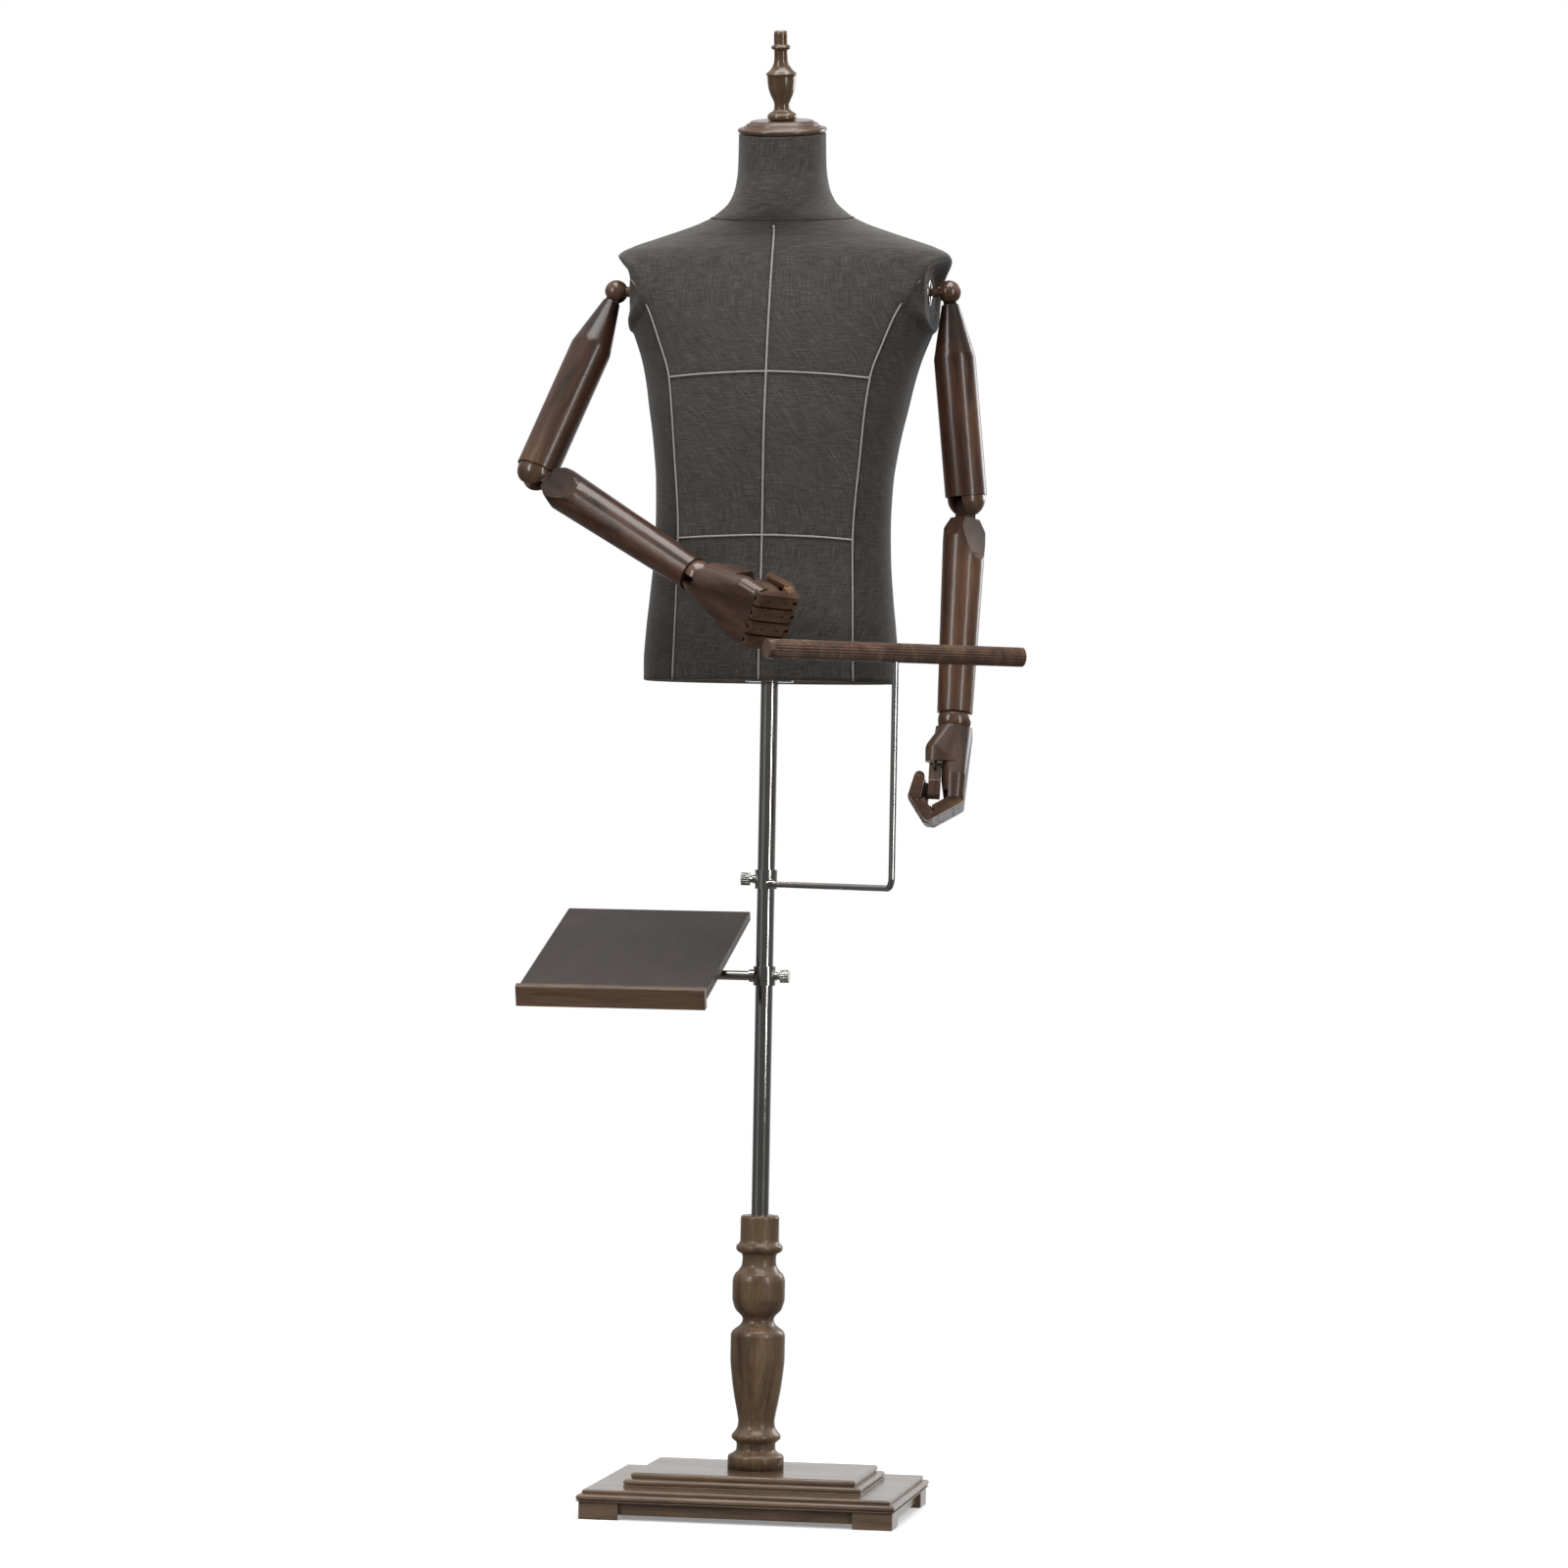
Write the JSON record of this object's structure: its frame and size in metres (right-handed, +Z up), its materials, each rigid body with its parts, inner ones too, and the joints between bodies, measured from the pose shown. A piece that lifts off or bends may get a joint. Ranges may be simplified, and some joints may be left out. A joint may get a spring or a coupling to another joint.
{
  "type": "jointed display form on stand",
  "caption": "Male display form with jointed wooden arms and hands, on a chrome pole with a swivelling trouser rail, a tilting shelf tray, a turned column and a stepped base.",
  "frame": {"origin": "pole axis at floor level", "axes": "+Z up along the pole, the chest faces -Y, the form's left arm is on the +X side"},
  "size_m": [0.6705, 0.5596, 1.8705],
  "materials": {
    "base_wood": "dark stained wood, gloss varnish",
    "steel": "zinc plated carriage bolt",
    "column_wood": "taupe brown stained wood, satin varnish",
    "chrome": "polished chrome plate",
    "nylon": "natural nylon liner",
    "knob": "bright nickel thumb screw",
    "bar_wood": "stained reeded hardwood",
    "tray_top": "dark taupe painted board",
    "tray_wood": "brown stained wood",
    "shell": "moulded composite shell",
    "linen": "charcoal melange linen",
    "inner_wood": "plain plywood",
    "cap_wood": "turned wood, satin varnish",
    "finial_brass": "aged bronze toned brass",
    "ball_wood": "dark stained turned wood",
    "arm_wood": "walnut stained wood, gloss varnish"
  },
  "bodies": {
    "stand": {"base_feet": "base_wood", "base_apron": "base_wood", "base_lower_tier": "base_wood", "base_upper_tier": "base_wood", "base_bolt": "steel", "column": "column_wood", "pole": "chrome"},
    "rail_slide": {"rail_bush": "nylon"},
    "rail": {"rail_collar": "chrome", "rail_bracket": "chrome", "rail_bar": "bar_wood"},
    "rail_screw": {"rail_screw": "knob"},
    "tray_slide": {"tray_bush": "nylon"},
    "tray_carrier": {"tray_collar": "chrome", "tray_arm": "chrome"},
    "tray_screw": {"tray_screw": "knob"},
    "tray": {"tray_board": "tray_top", "tray_lip": "tray_wood", "tray_pivot_block": "tray_wood"},
    "torso_lift": {"pole_socket": "chrome"},
    "torso": {"torso_shell": "shell", "torso_cover": "linen", "torso_base_board": "inner_wood", "torso_brace": "inner_wood", "neck_cap": "cap_wood", "finial": "finial_brass", "shoulder_plate_l": "chrome", "shoulder_plate_r": "chrome"},
    "shoulder_l": {"shoulder_ball_l": "ball_wood"},
    "upper_arm_l": {"upper_arm_l": "arm_wood"},
    "elbow_l": {"elbow_ball_l": "ball_wood"},
    "forearm_l": {"forearm_l": "arm_wood"},
    "wrist_l": {"wrist_ball_l": "ball_wood"},
    "hand_l": {"palm_l": "arm_wood"},
    "index_1_l": {"index_proximal_l": "arm_wood"},
    "index_2_l": {"index_outer_l": "arm_wood"},
    "middle_1_l": {"middle_proximal_l": "arm_wood"},
    "middle_2_l": {"middle_outer_l": "arm_wood"},
    "ring_1_l": {"ring_proximal_l": "arm_wood"},
    "ring_2_l": {"ring_outer_l": "arm_wood"},
    "little_1_l": {"little_proximal_l": "arm_wood"},
    "little_2_l": {"little_outer_l": "arm_wood"},
    "thumb_1_l": {"thumb_base_l": "arm_wood"},
    "thumb_2_l": {"thumb_tip_l": "arm_wood"},
    "shoulder_r": {"shoulder_ball_r": "ball_wood"},
    "upper_arm_r": {"upper_arm_r": "arm_wood"},
    "elbow_r": {"elbow_ball_r": "ball_wood"},
    "forearm_r": {"forearm_r": "arm_wood"},
    "wrist_r": {"wrist_ball_r": "ball_wood"},
    "hand_r": {"palm_r": "arm_wood"},
    "index_1_r": {"index_proximal_r": "arm_wood"},
    "index_2_r": {"index_outer_r": "arm_wood"},
    "middle_1_r": {"middle_proximal_r": "arm_wood"},
    "middle_2_r": {"middle_outer_r": "arm_wood"},
    "ring_1_r": {"ring_proximal_r": "arm_wood"},
    "ring_2_r": {"ring_outer_r": "arm_wood"},
    "little_1_r": {"little_proximal_r": "arm_wood"},
    "little_2_r": {"little_outer_r": "arm_wood"},
    "thumb_1_r": {"thumb_base_r": "arm_wood"},
    "thumb_2_r": {"thumb_tip_r": "arm_wood"}
  },
  "joints": [
    {"name": "rail_height", "type": "slide", "parent": "stand", "child": "rail_slide", "axis": [0, 0, 1], "range_m": [-0.09, 0.2]},
    {"name": "rail_swivel", "type": "hinge", "parent": "rail_slide", "child": "rail", "pos_m": [0, 0, 0.797], "axis": [0, 0, 1], "continuous": true},
    {"name": "rail_screw_turn", "type": "hinge", "parent": "rail", "child": "rail_screw", "pos_m": [0, 0, 0.797], "axis": [-1, 0, 0], "range_deg": [-30, 360]},
    {"name": "tray_height", "type": "slide", "parent": "stand", "child": "tray_slide", "axis": [0, 0, 1], "range_m": [-0.27, 0.08]},
    {"name": "tray_swivel", "type": "hinge", "parent": "tray_slide", "child": "tray_carrier", "pos_m": [0, 0, 0.675], "axis": [0, 0, 1], "continuous": true},
    {"name": "tray_screw_turn", "type": "hinge", "parent": "tray_carrier", "child": "tray_screw", "pos_m": [0, 0, 0.675], "axis": [1, 0, 0], "range_deg": [-30, 360]},
    {"name": "tray_tilt", "type": "hinge", "parent": "tray_carrier", "child": "tray", "pos_m": [-0.164, 0, 0.675], "axis": [1, 0, 0], "range_deg": [-17.5, 27.5]},
    {"name": "torso_height", "type": "slide", "parent": "stand", "child": "torso_lift", "axis": [0, 0, 1], "range_m": [-0.03, 0.15]},
    {"name": "torso_swivel", "type": "hinge", "parent": "torso_lift", "child": "torso", "pos_m": [0, 0, 1.05], "axis": [0, 0, 1], "continuous": true},
    {"name": "shoulder_swing_l", "type": "hinge", "parent": "torso", "child": "shoulder_l", "pos_m": [0.2145, 0.04, 1.543], "axis": [-1, 0, 0], "range_deg": [-39.34, 16.5]},
    {"name": "shoulder_raise_l", "type": "hinge", "parent": "shoulder_l", "child": "upper_arm_l", "pos_m": [0.2145, 0.04, 1.543], "axis": [0, -0.9999, -0.0115], "range_deg": [-1.19, 78.31]},
    {"name": "elbow_turn_l", "type": "hinge", "parent": "upper_arm_l", "child": "elbow_l", "pos_m": [0.2405, 0.043, 1.2823], "axis": [0.0992, 0.0115, -0.995], "range_deg": [-90, 90]},
    {"name": "elbow_bend_l", "type": "hinge", "parent": "elbow_l", "child": "forearm_l", "pos_m": [0.2405, 0.043, 1.2823], "axis": [-0.8484, 0.5234, -0.0786], "range_deg": [-12.13, 63.87]},
    {"name": "wrist_turn_l", "type": "hinge", "parent": "forearm_l", "child": "wrist_l", "pos_m": [0.237, -0.005, 1.0004], "axis": [-0.0122, -0.1678, -0.9857], "range_deg": [-90, 90]},
    {"name": "wrist_bend_l", "type": "hinge", "parent": "wrist_l", "child": "hand_l", "pos_m": [0.237, -0.005, 1.0004], "axis": [-0.1175, 0.9792, -0.1653], "range_deg": [-35, 35]},
    {"name": "index_knuckle_l", "type": "hinge", "parent": "hand_l", "child": "index_1_l", "pos_m": [0.24909, -0.04996, 0.9024], "axis": [-0.1175, 0.9792, -0.1653], "range_deg": [-58, 4]},
    {"name": "index_middle_l", "type": "hinge", "parent": "index_1_l", "child": "index_2_l", "pos_m": [0.21288, -0.05788, 0.88125], "axis": [-0.1175, 0.9792, -0.1653], "range_deg": [-88, 2]},
    {"name": "middle_knuckle_l", "type": "hinge", "parent": "hand_l", "child": "middle_1_l", "pos_m": [0.2468, -0.03087, 0.89918], "axis": [-0.1175, 0.9792, -0.1653], "range_deg": [-58, 4]},
    {"name": "middle_middle_l", "type": "hinge", "parent": "middle_1_l", "child": "middle_2_l", "pos_m": [0.20947, -0.03902, 0.87738], "axis": [-0.1175, 0.9792, -0.1653], "range_deg": [-88, 2]},
    {"name": "ring_knuckle_l", "type": "hinge", "parent": "hand_l", "child": "ring_1_l", "pos_m": [0.24451, -0.01177, 0.89595], "axis": [-0.1175, 0.9792, -0.1653], "range_deg": [-58, 8]},
    {"name": "ring_middle_l", "type": "hinge", "parent": "ring_1_l", "child": "ring_2_l", "pos_m": [0.20867, -0.0196, 0.87503], "axis": [-0.1175, 0.9792, -0.1653], "range_deg": [-88, 4]},
    {"name": "little_knuckle_l", "type": "hinge", "parent": "hand_l", "child": "little_1_l", "pos_m": [0.24222, 0.00732, 0.89273], "axis": [-0.1175, 0.9792, -0.1653], "range_deg": [-58, 8]},
    {"name": "little_middle_l", "type": "hinge", "parent": "little_1_l", "child": "little_2_l", "pos_m": [0.21086, 0.00047, 0.87442], "axis": [-0.1175, 0.9792, -0.1653], "range_deg": [-88, 4]},
    {"name": "thumb_base_l", "type": "hinge", "parent": "hand_l", "child": "thumb_1_l", "pos_m": [0.21892, -0.0399, 0.93961], "axis": [0.993, 0.1138, -0.0317], "range_deg": [-33, 38]},
    {"name": "thumb_tip_l", "type": "hinge", "parent": "thumb_1_l", "child": "thumb_2_l", "pos_m": [0.21915, -0.04688, 0.92195], "axis": [0.993, 0.1138, -0.0317], "range_deg": [-10, 30]},
    {"name": "shoulder_swing_r", "type": "hinge", "parent": "torso", "child": "shoulder_r", "pos_m": [-0.2145, 0.04, 1.543], "axis": [-1, 0, 0], "range_deg": [-3, 91.46]},
    {"name": "shoulder_raise_r", "type": "hinge", "parent": "shoulder_r", "child": "upper_arm_r", "pos_m": [-0.2145, 0.04, 1.543], "axis": [0, 0.9481, -0.3179], "range_deg": [-11, 65.43]},
    {"name": "elbow_turn_r", "type": "hinge", "parent": "upper_arm_r", "child": "elbow_r", "pos_m": [-0.298, -0.039, 1.3074], "axis": [-0.3185, -0.3014, -0.8987], "range_deg": [-4, 60]},
    {"name": "elbow_bend_r", "type": "hinge", "parent": "elbow_r", "child": "forearm_r", "pos_m": [-0.298, -0.039, 1.3074], "axis": [-0.1809, -0.9114, 0.3697], "range_deg": [-73.8, 2.2]},
    {"name": "wrist_turn_r", "type": "hinge", "parent": "forearm_r", "child": "wrist_r", "pos_m": [-0.068, -0.14, 1.171], "axis": [0.8046, -0.3533, -0.4772], "range_deg": [-90, 90]},
    {"name": "wrist_bend_r", "type": "hinge", "parent": "wrist_r", "child": "hand_r", "pos_m": [-0.068, -0.14, 1.171], "axis": [0.3225, -0.4148, 0.8509], "range_deg": [-35, 19]},
    {"name": "index_knuckle_r", "type": "hinge", "parent": "hand_r", "child": "index_1_r", "pos_m": [0.02013, -0.19726, 1.14406], "axis": [0.3225, -0.4148, 0.8509], "range_deg": [-58, 4]},
    {"name": "index_middle_r", "type": "hinge", "parent": "index_1_r", "child": "index_2_r", "pos_m": [0.05637, -0.17491, 1.14123], "axis": [0.3225, -0.4148, 0.8509], "range_deg": [-88, 2]},
    {"name": "middle_knuckle_r", "type": "hinge", "parent": "hand_r", "child": "middle_1_r", "pos_m": [0.01384, -0.18918, 1.12747], "axis": [0.3225, -0.4148, 0.8509], "range_deg": [-58, 4]},
    {"name": "middle_middle_r", "type": "hinge", "parent": "middle_1_r", "child": "middle_2_r", "pos_m": [0.05121, -0.16613, 1.12455], "axis": [0.3225, -0.4148, 0.8509], "range_deg": [-88, 2]},
    {"name": "ring_knuckle_r", "type": "hinge", "parent": "hand_r", "child": "ring_1_r", "pos_m": [0.00755, -0.18109, 1.11088], "axis": [0.3225, -0.4148, 0.8509], "range_deg": [-58, 8]},
    {"name": "ring_middle_r", "type": "hinge", "parent": "ring_1_r", "child": "ring_2_r", "pos_m": [0.04342, -0.15896, 1.10807], "axis": [0.3225, -0.4148, 0.8509], "range_deg": [-88, 4]},
    {"name": "little_knuckle_r", "type": "hinge", "parent": "hand_r", "child": "little_1_r", "pos_m": [0.00127, -0.173, 1.09429], "axis": [0.3225, -0.4148, 0.8509], "range_deg": [-58, 8]},
    {"name": "little_middle_r", "type": "hinge", "parent": "little_1_r", "child": "little_2_r", "pos_m": [0.03265, -0.15364, 1.09183], "axis": [0.3225, -0.4148, 0.8509], "range_deg": [-88, 4]},
    {"name": "thumb_base_r", "type": "hinge", "parent": "hand_r", "child": "thumb_1_r", "pos_m": [0.00217, -0.15568, 1.16262], "axis": [0.4986, 0.8385, 0.2198], "range_deg": [-33, 38]},
    {"name": "thumb_tip_r", "type": "hinge", "parent": "thumb_1_r", "child": "thumb_2_r", "pos_m": [0.0184, -0.16388, 1.15711], "axis": [0.4986, 0.8385, 0.2198], "range_deg": [-10, 30]}
  ]
}
